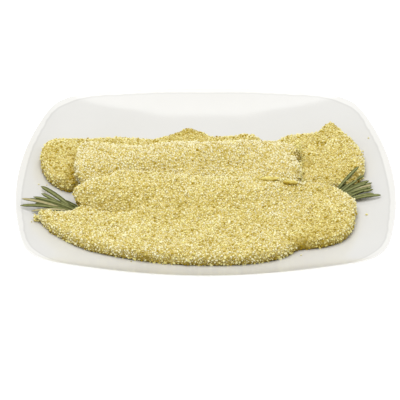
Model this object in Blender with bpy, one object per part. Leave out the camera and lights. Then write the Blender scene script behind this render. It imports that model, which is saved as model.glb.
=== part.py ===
"""Breaded cutlets on a square porcelain plate, with two sprigs of rosemary.

Run with: blender --background --python part.py

The plate stands on its foot ring at z = 0, centred on the origin, with its front towards -Y.
Four cutlets are laid on it one after another, and each one drapes over what lies below it.
"""

import math

import bmesh
import bpy
import numpy as np
from mathutils import Vector, noise
from mathutils.geometry import delaunay_2d_cdt

MM = 0.001

# ---------------------------------------------------------------- driving dimensions, in metres
PLATE_HALF = 0.150  # centre to the middle of a side
PLATE_SAGITTA = 0.030  # how far each side bows out
PLATE_CORNER_RADIUS = 0.036
PLATE_HEIGHT = 0.024  # at the middle of a side
CORNER_RISE = 0.0015  # how much higher the corners stand
WELL_Z = 0.006  # the flat floor of the plate
WELL_SHARE = 0.60  # share of the half width that is flat
CORNER_GROWTH = 3.2  # how fast the rings' corners get rounder towards the middle
CORNER_LIMIT = 0.85  # largest corner radius of a ring, as a share of its half width
CORNER_SPAN = math.radians(12.5)  # half the angle over which the rings' points lie closer together
POINTS_PER_CORNER = 9
POINTS_PER_SIDE = 11
RIM_POWER = 1.8  # how the rim's slope grows outwards
WALL = 0.0042  # thickness of the porcelain
LIP_WIDTH = 0.0016  # rounded edge, seen from above
LIP_PROFILE = ((0.0006, 0.0), (0.0, 0.0007), (0.0002, 0.0015), (0.0018, 0.0030))  # (in from the edge, down)
TOP_RING_SHARES = (0.22, 0.45, WELL_SHARE, 0.68, 0.75, 0.82, 0.88, 0.94)  # shares of the half width
UNDER_RING_SHARES = (0.92, 0.84, 0.76, 0.68)
FOOT_OUTER = 0.090
FOOT_WIDTH = 0.005
FOOT_BEVEL = 0.0006
BASE_RECESS = 0.0016  # underside of the plate, above the foot
BASE_RING = 0.027  # innermost ring of the underside

CLEARANCE = 0.0007  # gap kept between pieces that touch
EDGE_ROUNDING = 0.012  # width over which a cutlet thins towards its edge
EDGE_INSET = 0.0016  # how far the top and bottom faces stop short of the outline
EDGE_LIFT = 0.0012  # how far the underside curls up at the edge
EDGE_MIDDLE = 0.45  # height of the outline itself, as a share of the thickness there
LUMP_HEIGHT = 0.0009
LUMP_SIZE = 0.020
MESH_STEP = 0.0078  # spacing of the points on a cutlet
OUTLINE_STEP = 0.0068
CURVE_SAMPLES = 24  # points read between two knots of an outline
INNER_MARGIN = 0.55  # inner points keep this share of a mesh step from the outline

GRID_STEP = 0.003
GRID_HALF = 0.165
DRAPE_STEPS = 34  # more steps make a stiffer drape
DRAPE_MARGIN = 0.0055  # a piece above keeps this far from a lower piece's edge

NEEDLE_WIDTH = 0.0023
NEEDLE_THICKNESS = 0.0014
NEEDLE_SIDES = 5
NEEDLE_ARCH = 0.12  # how much a needle bows upwards
NEEDLE_SWELL = ((0.0, 0.55), (0.2, 0.95), (0.6, 1.0), (0.9, 0.75), (1.0, 0.25))  # (along, of the width)
STEM_RADIUS = 0.0012
STEM_TAPER = 0.3
STEM_STATIONS = 6
SPRIG_CLEARANCE = 0.0011
SPRIG_ROOM = 0.0060  # how far a cutlet is lifted where a stem runs under it
SPRIG_ROOM_SPREAD = 0.010

PORCELAIN = ("porcelain", (0.86, 0.855, 0.82), 0.12)
BREADING = ("breading", (0.72, 0.60, 0.22), 0.85)
ROSEMARY = ("rosemary", (0.13, 0.19, 0.07), 0.55)

# Each cutlet: its outline seen from above, as the points of a closed smooth curve in order round the
# piece, and the bumps (positive) and dents (negative) of its upper face as x, y, radius and height.
# Both are in millimetres; the thickness is in metres, and the seed picks its small lumps.
BACK_LEFT = {
    "name": "schnitzel_back_left",
    "thickness": 0.0120,
    "seed": 1.3,
    "outline": (
        (-98, -3), (-105, -8), (-112, -9.5), (-119, -7), (-127, 0), (-132, 11), (-134.5, 25),
        (-133.5, 38), (-130, 48), (-122, 55), (-110, 59), (-96, 65), (-84, 69), (-65, 72), (-50, 71),
        (-41, 71), (-34, 76), (-21, 79), (-9, 81), (2, 76), (18, 75), (34, 76), (44, 74), (49, 65),
        (42, 43), (14, 26), (-24, 14), (-66, 6),
    ),
    "bumps": ((-120, 26, 20, 2.5), (-104, 50, 10, 1.0), (-14, 70, 10, 4.0), (34, 66, 9, 2.0)),
}  # fmt: skip
BACK_RIGHT = {
    "name": "schnitzel_back_right",
    "thickness": 0.0105,
    "seed": 5.7,
    "outline": (
        (58, 66), (63, 71), (71, 74), (81, 75), (90, 74), (97, 75), (102, 80), (107, 82), (113, 77),
        (118, 68), (123, 57), (126, 46), (129, 35), (129.5, 24), (129, 14), (126, 3), (121, -4),
        (114, -6.5), (106, -5), (96, -6), (84, -8), (68, -8), (55, 2), (50, 20), (52, 46),
    ),
    "bumps": ((105, 76, 6, 3.0), (86, 60, 22, 2.0), (112, 30, 16, 1.5), (92, 8, 12, -1.5)),
}  # fmt: skip
MIDDLE = {
    "name": "schnitzel_middle",
    "thickness": 0.0105,
    "seed": 9.1,
    "outline": (
        (-101, -10), (-105, 2), (-105, 16), (-103, 30), (-97, 38), (-84, 39), (-66, 37), (-45, 38),
        (-30, 42), (-12, 45), (14, 45), (37, 47), (57, 47), (70, 41), (79, 34), (79, 28), (74, 24),
        (76, 12), (77, 0), (75, -10), (66, -26), (38, -38), (0, -42), (-38, -42), (-68, -34), (-88, -23),
    ),
    "bumps": ((78, 33, 6, 2.5), (66, 26, 8, -1.5), (-78, 24, 24, 1.5), (40, 24, 20, 1.0)),
}  # fmt: skip
FRONT = {
    "name": "schnitzel_front",
    "thickness": 0.0110,
    "seed": 13.9,
    "outline": (
        (-128, -61), (-123, -73), (-112, -85), (-94, -99), (-79, -105), (-62, -109), (-41, -113),
        (-19, -116), (9, -118), (33, -116), (49, -112), (61, -105), (68, -95), (79, -97), (92, -96),
        (104, -89), (111, -76), (114, -61), (117, -44), (115, -32), (110, -24), (104, -17.5), (97, -14),
        (87, -14.5), (73, -20), (58, -19), (43, -16), (27, -13), (8, -11), (-24, -10), (-44, -8), (-64, -8),
        (-76, -11), (-86, -17), (-95, -20), (-102, -22), (-105, -26), (-103, -33), (-96, -42), (-97, -48),
        (-103, -52), (-112, -56), (-120, -57),
    ),
    "bumps": (
        (-86, -46, 8, -3.0), (-70, -48, 11, -3.0), (-52, -48, 12, -2.0), (-28, -44, 12, -1.0),
        (-112, -62, 12, -2.0), (58, -17, 9, 1.8), (74, -17, 7, 1.2), (64, -30, 12, -1.2),
        (66, -80, 9, -2.0), (-96, -66, 16, 1.5), (20, -72, 26, 1.5), (96, -54, 18, 1.5),
    ),
}  # fmt: skip

# Sprigs: where the stem starts, its heading in degrees from +X and its length in millimetres, then each
# needle as (share along the stem, x and y of its tip, height of the tip above what lies below it).
LEFT_SPRIG = {
    "name": "rosemary_left",
    "start": (-92, -35),
    "heading": 184,
    "length": 25,
    "needles": (
        (0.10, -130, -20, 5), (0.05, -114, -26, 3), (0.30, -129, -29, 4), (0.55, -135, -37, 4),
        (0.85, -142, -45, 3), (0.75, -138, -42, 5), (1.00, -142, -54, 3), (0.60, -134, -55, 3),
        (0.35, -129, -53, 3), (0.45, -126, -34, 6), (0.90, -133, -48, 6),
    ),
}  # fmt: skip
RIGHT_SPRIG = {
    "name": "rosemary_right",
    "start": (104, -10),
    "heading": -53,
    "length": 21,
    "needles": (
        (0.05, 122, 3, 3), (0.15, 127, -5, 5), (0.35, 130, -12, 5), (0.50, 133, -16, 4),
        (0.65, 132, -22, 4), (1.00, 137, -33, 3), (0.85, 132, -28, 5), (0.25, 118, -4, 7),
        (0.60, 124, -13, 8), (0.95, 128, -25, 7),
    ),
}  # fmt: skip


# ---------------------------------------------------------------- materials and objects


def clear_scene():
    for obj in list(bpy.data.objects):
        bpy.data.objects.remove(obj, do_unlink=True)


def material(spec):
    name, colour, roughness = spec
    made = bpy.data.materials.get(name)
    if made is None:
        made = bpy.data.materials.new(name)
        made.use_nodes = True
        shader = made.node_tree.nodes["Principled BSDF"]
        shader.inputs["Base Color"].default_value = (*colour, 1.0)
        shader.inputs["Roughness"].default_value = roughness
        shader.inputs["Metallic"].default_value = 0.0
        made.diffuse_color = (*colour, 1.0)
    return made


def object_from(bm, name, spec):
    bmesh.ops.recalc_face_normals(bm, faces=bm.faces)
    mesh = bpy.data.meshes.new(name)
    bm.to_mesh(mesh)
    bm.free()
    mesh.materials.append(material(spec))
    mesh.shade_smooth()
    obj = bpy.data.objects.new(name, mesh)
    bpy.context.scene.collection.objects.link(obj)
    return obj


def join_rings(bm, lower, upper):
    """Quads between two rings of vertices with equal counts."""
    count = len(lower)
    for i in range(count):
        after = (i + 1) % count
        bm.faces.new((lower[i], lower[after], upper[after], upper[i]))


# ---------------------------------------------------------------- the plate


def rounded_square_radius(theta, half, sagitta, corner):
    """Distance from the centre to a square with bowed sides and filleted corners, in direction theta."""
    side_radius = (half**2 + sagitta**2) / (2 * sagitta)
    side_centre = half - side_radius
    # The fillet's centre lies on the diagonal, where it touches both side arcs from inside.
    fillet = (side_centre + math.sqrt(2 * (side_radius - corner) ** 2 - side_centre**2)) / 2
    folded = (theta + math.pi / 4) % (math.pi / 2) - math.pi / 4
    along, across = np.cos(folded), np.abs(np.sin(folded))
    reach = along * side_centre
    on_side = reach + np.sqrt(reach**2 + side_radius**2 - side_centre**2)
    reach = along * fillet + across * fillet
    on_corner = reach + np.sqrt(np.maximum(reach**2 + corner**2 - 2 * fillet**2, 0.0))
    tangent = np.array([fillet - side_centre, fillet])
    tangent = tangent / np.linalg.norm(tangent) * side_radius + np.array([side_centre, 0.0])
    limit = math.atan2(tangent[1], tangent[0])
    return np.where(np.abs(folded) > limit, on_corner, on_side)


def ring_radius(theta, half):
    """Outline of the plate where its half width is half: rounder towards the middle."""
    share = half / PLATE_HALF
    corner = PLATE_CORNER_RADIUS * share + CORNER_GROWTH * (PLATE_HALF - half) * share
    return rounded_square_radius(theta, half, PLATE_SAGITTA * share, min(corner, CORNER_LIMIT * half))


def rim_height(share):
    """Height of the plate's upper face at this share of the half width."""
    rise = max(share - WELL_SHARE, 0.0) / (1 - WELL_SHARE)
    return WELL_Z + (PLATE_HEIGHT - WELL_Z) * rise**RIM_POWER


def corner_rise(theta, share):
    return CORNER_RISE * (0.5 - 0.5 * np.cos(4 * theta)) * max(share - WELL_SHARE, 0.0) / (1 - WELL_SHARE)


def top_stations():
    """(half width, height) of the rings on the upper face, from the well to the lip."""
    stations = [(PLATE_HALF * share, rim_height(share)) for share in TOP_RING_SHARES]
    inner_lip = PLATE_HALF - LIP_WIDTH
    stations.append((inner_lip, rim_height(inner_lip / PLATE_HALF)))
    return stations


def plate_profile():
    """(half width, height) of every ring from the centre of the upper face round to the underside."""
    stations = top_stations()
    stations += [(PLATE_HALF - inwards, PLATE_HEIGHT - down) for inwards, down in LIP_PROFILE]
    stations += [(PLATE_HALF * share, rim_height(share) - WALL) for share in UNDER_RING_SHARES]
    base = WELL_Z - WALL
    stations += [
        (FOOT_OUTER, base),
        (FOOT_OUTER - FOOT_BEVEL, 0.0),
        (FOOT_OUTER - FOOT_WIDTH, 0.0),
        (FOOT_OUTER - FOOT_WIDTH - FOOT_BEVEL, BASE_RECESS),
        (BASE_RING, BASE_RECESS),
    ]
    return stations


def plate_angles():
    """Directions of the plate's radial edges, closer together round the corners."""
    corner = math.pi / 4 + CORNER_SPAN * np.linspace(-1, 1, POINTS_PER_CORNER)
    side = math.pi / 2 + (math.pi / 4 - CORNER_SPAN) * np.linspace(-1, 1, POINTS_PER_SIDE + 2)[1:-1]
    quarter = np.concatenate([corner, side])
    return np.concatenate([quarter + i * math.pi / 2 for i in range(4)])


def build_plate():
    angles = plate_angles()
    bm = bmesh.new()
    rings = []
    for half, height in plate_profile():
        radius = ring_radius(angles, half)
        rise = corner_rise(angles, half / PLATE_HALF)
        rings.append(
            [
                bm.verts.new((r * math.cos(a), r * math.sin(a), height + up))
                for r, a, up in zip(radius, angles, rise)
            ]
        )
    for lower, upper in zip(rings, rings[1:]):
        join_rings(bm, lower, upper)
    for ring, height in ((rings[0], WELL_Z), (rings[-1], BASE_RECESS)):
        centre = bm.verts.new((0.0, 0.0, height))
        for i, vert in enumerate(ring):
            bm.faces.new((vert, ring[(i + 1) % len(ring)], centre))
    return object_from(bm, "plate", PORCELAIN)


# ---------------------------------------------------------------- height fields on a common grid

AXIS = np.arange(-GRID_HALF, GRID_HALF + GRID_STEP / 2, GRID_STEP)
GRID_X, GRID_Y = np.meshgrid(AXIS, AXIS)


def sampled(field, x, y):
    """Value of a grid field at points, by bilinear interpolation."""
    col = np.clip((np.asarray(x) + GRID_HALF) / GRID_STEP, 0, len(AXIS) - 1.001)
    row = np.clip((np.asarray(y) + GRID_HALF) / GRID_STEP, 0, len(AXIS) - 1.001)
    c, r = col.astype(int), row.astype(int)
    u, v = col - c, row - r
    low = field[r, c] * (1 - u) + field[r, c + 1] * u
    high = field[r + 1, c] * (1 - u) + field[r + 1, c + 1] * u
    return low * (1 - v) + high * v


def plate_top_field():
    """Height of the plate's upper face over the grid."""
    theta = np.arctan2(GRID_Y, GRID_X)
    distance = np.hypot(GRID_X, GRID_Y)
    height = np.full_like(distance, WELL_Z)
    inner_radius = np.zeros_like(distance)
    inner_height = np.full_like(distance, WELL_Z)
    for half, z in top_stations():
        radius = ring_radius(theta, half)
        level = z + corner_rise(theta, half / PLATE_HALF)
        share = np.clip((distance - inner_radius) / (radius - inner_radius), 0, 1)
        height = np.where(distance > inner_radius, inner_height + share * (level - inner_height), height)
        inner_radius, inner_height = radius, level
    return height


def averaged(field):
    """Each grid point becomes the mean of itself and its neighbours."""
    wide = np.pad(field, 1, mode="edge")
    cross = wide[:-2, 1:-1] + wide[2:, 1:-1] + wide[1:-1, :-2] + wide[1:-1, 2:]
    return 0.2 * (cross + field)


def draped(obstacle):
    """The underside of a soft slab laid on the obstacle: it bridges steps with smooth slopes."""
    height = obstacle.copy()
    for _ in range(DRAPE_STEPS):
        height = np.maximum(obstacle, averaged(height))
    return averaged(averaged(height))


# ---------------------------------------------------------------- cutlets


def smooth_closed_curve(points, step):
    """Points evenly spaced on a closed Catmull-Rom curve through the given ones."""
    knots = np.array(points, float)
    before, after, beyond = np.roll(knots, 1, 0), np.roll(knots, -1, 0), np.roll(knots, -2, 0)
    t = np.linspace(0, 1, CURVE_SAMPLES, endpoint=False)[None, :, None]
    a, b, c, d = (k[:, None, :] for k in (before, knots, after, beyond))
    dense = 0.5 * (2 * b + (c - a) * t + (2 * a - 5 * b + 4 * c - d) * t**2 + (3 * b - a - 3 * c + d) * t**3)
    dense = dense.reshape(-1, 2)
    closed = np.vstack([dense, dense[:1]])
    length = np.concatenate([[0], np.cumsum(np.linalg.norm(np.diff(closed, axis=0), axis=1))])
    at = np.linspace(0, length[-1], round(length[-1] / step), endpoint=False)
    return np.column_stack([np.interp(at, length, closed[:, i]) for i in range(2)])


def inset_curve(curve, distance):
    """The closed curve moved inwards along its own normals."""
    along = np.roll(curve, -1, 0) - np.roll(curve, 1, 0)
    along /= np.linalg.norm(along, axis=1)[:, None]
    turned = np.column_stack([-along[:, 1], along[:, 0]])
    return curve + distance * turned * np.sign(signed_area(curve))


def signed_area(curve):
    after = np.roll(curve, -1, 0)
    return 0.5 * np.sum(curve[:, 0] * after[:, 1] - after[:, 0] * curve[:, 1])


def depth_inside(curve, x, y):
    """Distance to the closed curve, positive inside it and negative outside."""
    points = np.column_stack([np.ravel(x), np.ravel(y)])
    start, end = curve, np.roll(curve, -1, 0)
    edge = end - start
    offset = points[:, None, :] - start[None]
    share = np.clip((offset * edge).sum(-1) / (edge**2).sum(-1), 0, 1)
    gap = np.linalg.norm(offset - share[..., None] * edge, axis=-1).min(axis=1)
    crosses = (start[None, :, 1] > points[:, None, 1]) != (end[None, :, 1] > points[:, None, 1])
    with np.errstate(divide="ignore", invalid="ignore"):
        at = start[None, :, 0] + (points[:, None, 1] - start[None, :, 1]) * edge[:, 0] / edge[:, 1]
    inside = (crosses & (points[:, None, 0] < at)).sum(axis=1) % 2 == 1
    return np.where(inside, gap, -gap).reshape(np.shape(x))


class Cutlet:
    """A slab of meat with a soft outline, laid over what is already on the plate."""

    def __init__(self, shape):
        self.name = shape["name"]
        self.outline = smooth_closed_curve(np.array(shape["outline"]) * MM, OUTLINE_STEP)
        self.bumps = np.array(shape["bumps"]) * MM
        self.thickness = shape["thickness"]
        self.seed = shape["seed"]
        self.depth = depth_inside(self.outline, GRID_X, GRID_Y)
        self.under = None

    def thickness_at(self, depth):
        """Thickness at a distance inside the outline: full in the middle, rounded off at the edge."""
        share = np.clip((depth + EDGE_INSET) / EDGE_ROUNDING, 0, 1)
        return self.thickness * np.sqrt(1 - (1 - share) ** 2)

    def relief(self, x, y):
        """Lumps, bumps and dents of the upper face."""
        height = np.zeros(np.shape(x))
        for bump_x, bump_y, radius, rise in self.bumps:
            height += rise * np.exp(-((x - bump_x) ** 2 + (y - bump_y) ** 2) / radius**2)
        places = zip(np.ravel(x) / LUMP_SIZE, np.ravel(y) / LUMP_SIZE)
        lumps = np.array([noise.noise(Vector((u, v, self.seed))) for u, v in places])
        return height + LUMP_HEIGHT * lumps.reshape(np.shape(x))

    def lay_on(self, obstacle):
        self.under = draped(obstacle + CLEARANCE)

    def obstacle_for_others(self):
        """What a piece laid on top meets: this one's upper face, carried a little past its outline."""
        reach = self.depth + DRAPE_MARGIN
        top = self.under + self.thickness_at(reach) + self.relief(GRID_X, GRID_Y)
        return np.where(reach > 0, top, 0.0)

    def faces_at(self, curve):
        """Plan triangulation inside the curve: points, and triangles that use them."""
        low, high = curve.min(0), curve.max(0)
        row_step = MESH_STEP * math.sqrt(3) / 2
        inner = []
        for row, y in enumerate(np.arange(low[1], high[1], row_step)):
            shift = 0.5 * MESH_STEP * (row % 2)
            inner += [(x, y) for x in np.arange(low[0] + shift, high[0], MESH_STEP)]
        inner = np.array(inner)
        inner = inner[depth_inside(curve, inner[:, 0], inner[:, 1]) > INNER_MARGIN * MESH_STEP]
        count = len(curve)
        points = [Vector(p) for p in np.vstack([curve, inner])]
        edges = [(i, (i + 1) % count) for i in range(count)]
        made, _, triangles, *_ = delaunay_2d_cdt(points, edges, [list(range(count))], 1, 1e-7)
        return np.array([tuple(p) for p in made]), triangles

    def build(self):
        rim = inset_curve(self.outline, EDGE_INSET)
        points, triangles = self.faces_at(rim)
        x, y = points[:, 0], points[:, 1]
        depth = depth_inside(self.outline, x, y)
        curl = EDGE_LIFT * np.clip(1 - depth / (0.5 * EDGE_ROUNDING), 0, 1) ** 2
        under = sampled(self.under, x, y)
        top = under + self.thickness_at(depth) + self.relief(x, y)
        under = under + curl
        bm = bmesh.new()
        upper = [bm.verts.new(p) for p in np.column_stack([x, y, top])]
        lower = [bm.verts.new(p) for p in np.column_stack([x, y, under])]
        for triangle in triangles:
            bm.faces.new([upper[i] for i in triangle])
            bm.faces.new([lower[i] for i in reversed(triangle)])
        count = len(rim)
        edge = under + EDGE_MIDDLE * (top - under)
        middle = [bm.verts.new((*self.outline[i], edge[i])) for i in range(count)]
        join_rings(bm, lower[:count], middle)
        join_rings(bm, middle, upper[:count])
        return object_from(bm, self.name, BREADING)


# ---------------------------------------------------------------- rosemary


def tapered_tube(name, stations, side, width, thickness):
    """A closed tube along the stations, each (point, share of the full width), flat across side."""
    bm = bmesh.new()
    rings = []
    for i, (centre, swell) in enumerate(stations):
        before, after = stations[max(i - 1, 0)][0], stations[min(i + 1, len(stations) - 1)][0]
        up = (after - before).normalized().cross(side)
        ring = []
        for k in range(NEEDLE_SIDES):
            angle = 2 * math.pi * k / NEEDLE_SIDES
            across = 0.5 * width * swell * math.cos(angle)
            above = 0.5 * thickness * swell * math.sin(angle)
            ring.append(bm.verts.new(centre + side * across + up * above))
        rings.append(ring)
    for lower, upper in zip(rings, rings[1:]):
        join_rings(bm, lower, upper)
    bm.faces.new(reversed(rings[0]))
    bm.faces.new(rings[-1])
    return object_from(bm, name, ROSEMARY)


def needle(name, base, tip, bed):
    """A narrow leaf from its base to its tip, lifted clear of what lies below it."""
    side = Vector((base.y - tip.y, tip.x - base.x, 0.0)).normalized()
    stations = []
    for along, swell in NEEDLE_SWELL:
        centre = base.lerp(tip, along)
        lowest = float(sampled(bed, centre.x, centre.y)) + 0.5 * NEEDLE_THICKNESS + SPRIG_CLEARANCE
        arch = NEEDLE_ARCH * (tip - base).length * along * (1 - along)
        centre.z = max(centre.z + arch, lowest)
        stations.append((centre, swell))
    return tapered_tube(name, stations, side, NEEDLE_WIDTH, NEEDLE_THICKNESS)


def stem_line(sprig):
    """Start and end of a sprig's stem, seen from above."""
    heading = math.radians(sprig["heading"])
    start = np.array(sprig["start"]) * MM
    return start, start + sprig["length"] * MM * np.array([math.cos(heading), math.sin(heading)])


def build_sprig(sprig, bed):
    """A stem with its needles joined to it, lying on the bed."""
    start, end = stem_line(sprig)
    side = Vector((start[1] - end[1], end[0] - start[0], 0.0)).normalized()
    stations = []
    for along in np.linspace(0, 1, STEM_STATIONS):
        x, y = start + (end - start) * along
        height = float(sampled(bed, x, y)) + STEM_RADIUS + SPRIG_CLEARANCE
        stations.append((Vector((x, y, height)), 1 - STEM_TAPER * along))
    stem = tapered_tube(sprig["name"], stations, side, 2 * STEM_RADIUS, 2 * STEM_RADIUS)
    for i, (share, tip_x, tip_y, above) in enumerate(sprig["needles"]):
        place = share * (len(stations) - 1)
        low = min(int(place), len(stations) - 2)
        base = stations[low][0].lerp(stations[low + 1][0], place - low)
        tip = Vector((tip_x * MM, tip_y * MM, 0.0))
        tip.z = float(sampled(bed, tip.x, tip.y)) + above * MM
        leaf = needle(f"{sprig['name']}_needle_{i}", base, tip, bed)
        leaf.hide_render = True
        leaf.display_type = "WIRE"
        union = stem.modifiers.new(f"needle_{i}", "BOOLEAN")
        union.operation = "UNION"
        union.solver = "EXACT"
        union.object = leaf
    return stem


def stem_room(sprig):
    """The height that a sprig's stem needs under a cutlet."""
    start, end = stem_line(sprig)
    run = end - start
    x, y = GRID_X - start[0], GRID_Y - start[1]
    along = np.clip((x * run[0] + y * run[1]) / (run @ run), 0, 1)
    gap = np.hypot(x - along * run[0], y - along * run[1])
    return SPRIG_ROOM * np.exp(-((gap / SPRIG_ROOM_SPREAD) ** 2))


# ---------------------------------------------------------------- assembly


def main():
    clear_scene()
    build_plate()
    floor = plate_top_field()

    back_left = Cutlet(BACK_LEFT)
    back_right = Cutlet(BACK_RIGHT)
    middle = Cutlet(MIDDLE)
    front = Cutlet(FRONT)

    back_left.lay_on(floor)
    back_right.lay_on(floor)
    pile = np.maximum.reduce([floor, back_left.obstacle_for_others(), back_right.obstacle_for_others()])
    middle.lay_on(pile)
    front.lay_on(np.maximum.reduce([pile, middle.obstacle_for_others(), floor + stem_room(LEFT_SPRIG)]))

    for cutlet in (back_left, back_right, middle, front):
        cutlet.build()
    build_sprig(LEFT_SPRIG, floor)
    build_sprig(RIGHT_SPRIG, np.maximum(floor, back_right.obstacle_for_others()))


main()
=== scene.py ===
"""Breadcrumbed cutlets on a square porcelain plate, with rosemary: the finish of every surface."""

import math

import bpy
import numpy as np
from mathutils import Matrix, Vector, noise
from mathutils.bvhtree import BVHTree


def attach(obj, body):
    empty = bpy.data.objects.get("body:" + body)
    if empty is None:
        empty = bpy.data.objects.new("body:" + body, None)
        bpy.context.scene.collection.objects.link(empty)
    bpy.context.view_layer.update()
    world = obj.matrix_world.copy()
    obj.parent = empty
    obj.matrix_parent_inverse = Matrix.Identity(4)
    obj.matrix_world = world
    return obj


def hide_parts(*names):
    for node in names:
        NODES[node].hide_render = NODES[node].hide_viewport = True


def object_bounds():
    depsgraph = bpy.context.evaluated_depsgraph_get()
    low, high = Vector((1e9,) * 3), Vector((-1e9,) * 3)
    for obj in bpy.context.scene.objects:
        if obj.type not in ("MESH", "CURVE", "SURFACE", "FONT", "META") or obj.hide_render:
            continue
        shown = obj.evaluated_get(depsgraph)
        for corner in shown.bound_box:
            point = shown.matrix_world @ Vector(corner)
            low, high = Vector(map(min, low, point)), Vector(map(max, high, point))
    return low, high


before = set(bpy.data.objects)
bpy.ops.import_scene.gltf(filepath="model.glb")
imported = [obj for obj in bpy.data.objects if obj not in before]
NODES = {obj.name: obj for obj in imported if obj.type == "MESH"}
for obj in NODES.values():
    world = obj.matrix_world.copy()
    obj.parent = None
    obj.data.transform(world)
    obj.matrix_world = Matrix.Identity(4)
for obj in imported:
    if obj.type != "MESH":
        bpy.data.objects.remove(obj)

CAD_BOUNDS = [list(corner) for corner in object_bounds()]
MM = 0.001

# ---------------------------------------------------------------- the coating of the cutlets, in metres

VOXEL = 0.0010  # mesh size of a cutlet's skin
SKIN_PUFF = 0.0002  # how far the relaxed skin is blown up again
SKIN_TOP = 0.0319  # no skin is higher, so that its crumbs stay under the part's full height
SETTLE_REACH = 0.0090  # an underside closer than this to what it lies on sinks down to it
SETTLE_GAP = 0.0003
FACES_DOWN = -0.05
FACES_UP = 0.2
HOLLOW_ROUNDS = 24
COVERED_GAP = 0.0030  # closer than this under another piece, a surface gets no crumbs
RAY_START = 0.0003  # rays start this far off the surface that they leave

# Swells of the skin: height and size of each, from the broadest to the finest.
SWELL = (0.0005, 0.0120)
RIPPLE = (0.00045, 0.0050)
CLOTS = (0.0014, 0.0046)  # along the edges only
LUMPS = (0.0005, 0.0024)

CRUMB_SPACING = 0.00178
CRUMB_SIZE = (0.0013, 0.0027)
CRUMB_LIFT = 0.14  # how far a crumb's middle stands over the skin, as a share of its size
CRUMB_SHARE = 0.92
GRIT_SPACING = 0.00106
GRIT_SIZE = (0.00066, 0.00135)
GRIT_LIFT = 0.05
GRIT_SHARE = 0.82
NUGGET_SPACING = 0.0075
NUGGET_SIZE = (0.0022, 0.0032)
NUGGET_LIFT = 0.15
PATCH_SIZE = 0.013  # in patches of about this size the crumbs are fewer and paler
PATCH_THINNING = 0.45
PIT_RADIUS = 0.0013
PITS_PER_AREA = 8000.0  # pits in a square metre of coating
# Fine coating without coarse crumbs, for each cutlet: x, y and radius in mm.
BARE_SPOTS = {"schnitzel_back_right": ((84, 25, 4.0), (83, 5, 4.0), (86, 16, 2.5))}

# ---------------------------------------------------------------- its tones, from deep, 0, to pale, 1, and the painted shade and light on them

CRUMB_TONES = ((0.440, 0.305, 0.022), (0.875, 0.803, 0.310), (0.893, 0.853, 0.590))
GRIT_TONES = ((0.440, 0.312, 0.026), (0.872, 0.806, 0.425), (0.893, 0.858, 0.665))
SKIN_TONES = ((0.280, 0.185, 0.018), (0.560, 0.440, 0.110), (0.790, 0.690, 0.320))
PALEST = 0.80  # most grains have about this tint, and the others fall off towards the deep tone
CRUMB_FALL_OFF = 0.32
GRIT_FALL_OFF = 0.30
PATCH_TINT = 0.10
NUGGET_TINT = (0.42, 0.15)  # mean and spread
GRAIN_FOOT_PAINTED_SHADE = 0.80  # painted shade: how much deeper a grain's foot, by the skin, is painted than its top
CLOSE_GAP = 0.0080  # closer than this to a piece that lies on top, painted shade makes the tone deeper
COVER_PAINTED_SHADE = 0.50
FOOT_GAP = 0.0035  # the foot of a cutlet, this close to what it lies on, gets painted shade too
BED_PAINTED_SHADE = 0.55
HOLLOW_PAINTED_SHADE = 0.36  # painted shade for each millimetre that a place lies in a hollow
# painted shade down the sides, which face away from the light overhead
SIDE_PAINTED_SHADE = 0.10
PIECE_TONE = {
    "schnitzel_back_left": -0.10,
    "schnitzel_back_right": -0.06,
    "schnitzel_middle": 0.44,
    "schnitzel_front": 0.07,
}
# Spots where the tone shifts, for each cutlet: x, y and radius in mm, and the shift. Some are golden clumps
# of the coating; many are painted shade, deeper in the fold, under the rolled lip and on sides that face
# away from the light, and one is painted light on the front cutlet's upper slope.
TONE_AND_SHADE_SPOTS = {
    "schnitzel_back_left": ((-20, 76, 15, -0.50), (-106, -3, 9, -0.55), (-128, 25, 12, -0.30)),
    "schnitzel_back_right": ((108, 76, 9, -0.35), (118, 0, 12, -0.25)),
    "schnitzel_middle": ((72, 24, 7, -0.35), (-78, 34, 16, -0.25)),
    "schnitzel_front": (
        # painted shade at the lifted right front corner and down the lower right
        (72, -98, 8, -0.90),
        (88, -82, 24, -0.35),
        # painted light on the upper slope, and painted shade on the lobe's slope by the notch
        (60, -40, 26, 0.20),
        (-90, -42, 12, -0.20),
        # painted shade in the groove under the rolled lip
        (42, -22.5, 2.2, -0.70),
        (46, -23, 2.2, -0.70),
        (50, -23, 2.2, -0.70),
        (54, -23.5, 2.2, -0.70),
        (62, -26, 2.0, -0.70),
        (66, -26.8, 2.0, -0.70),
        (70, -27, 2.0, -0.70),
        # golden clumps of the coating
        (88, -30, 6, -0.40),
        (-20, -50, 5, -0.35),
        # painted shade along the crest of the fold
        (-60, -52, 3.0, -0.50),
        (-72, -53, 3.0, -0.50),
        (-82, -50, 3.0, -0.40),
    ),
}

# ---------------------------------------------------------------- what lies on what

CUTLETS = ("schnitzel_back_left", "schnitzel_back_right", "schnitzel_middle", "schnitzel_front")
LYING_ON_IT = {
    "schnitzel_back_left": ("schnitzel_middle", "schnitzel_front"),
    "schnitzel_back_right": ("schnitzel_middle", "schnitzel_front"),
    "schnitzel_middle": ("schnitzel_front",),
    "schnitzel_front": (),
}


# ---------------------------------------------------------------- small helpers


def deselect_all():
    """Nothing is selected any more, in object mode."""
    if bpy.context.object and bpy.context.object.mode != "OBJECT":
        bpy.ops.object.mode_set(mode="OBJECT")
    bpy.ops.object.select_all(action="DESELECT")


def make_active(obj):
    """Only this object is selected."""
    deselect_all()
    obj.select_set(True)
    bpy.context.view_layer.objects.active = obj


def apply_modifier(obj, name, kind, **settings):
    """Add a modifier with these settings and apply it at once."""
    make_active(obj)
    modifier = obj.modifiers.new(name, kind)
    for key, value in settings.items():
        setattr(modifier, key, value)
    bpy.ops.object.modifier_apply(modifier=modifier.name)


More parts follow.
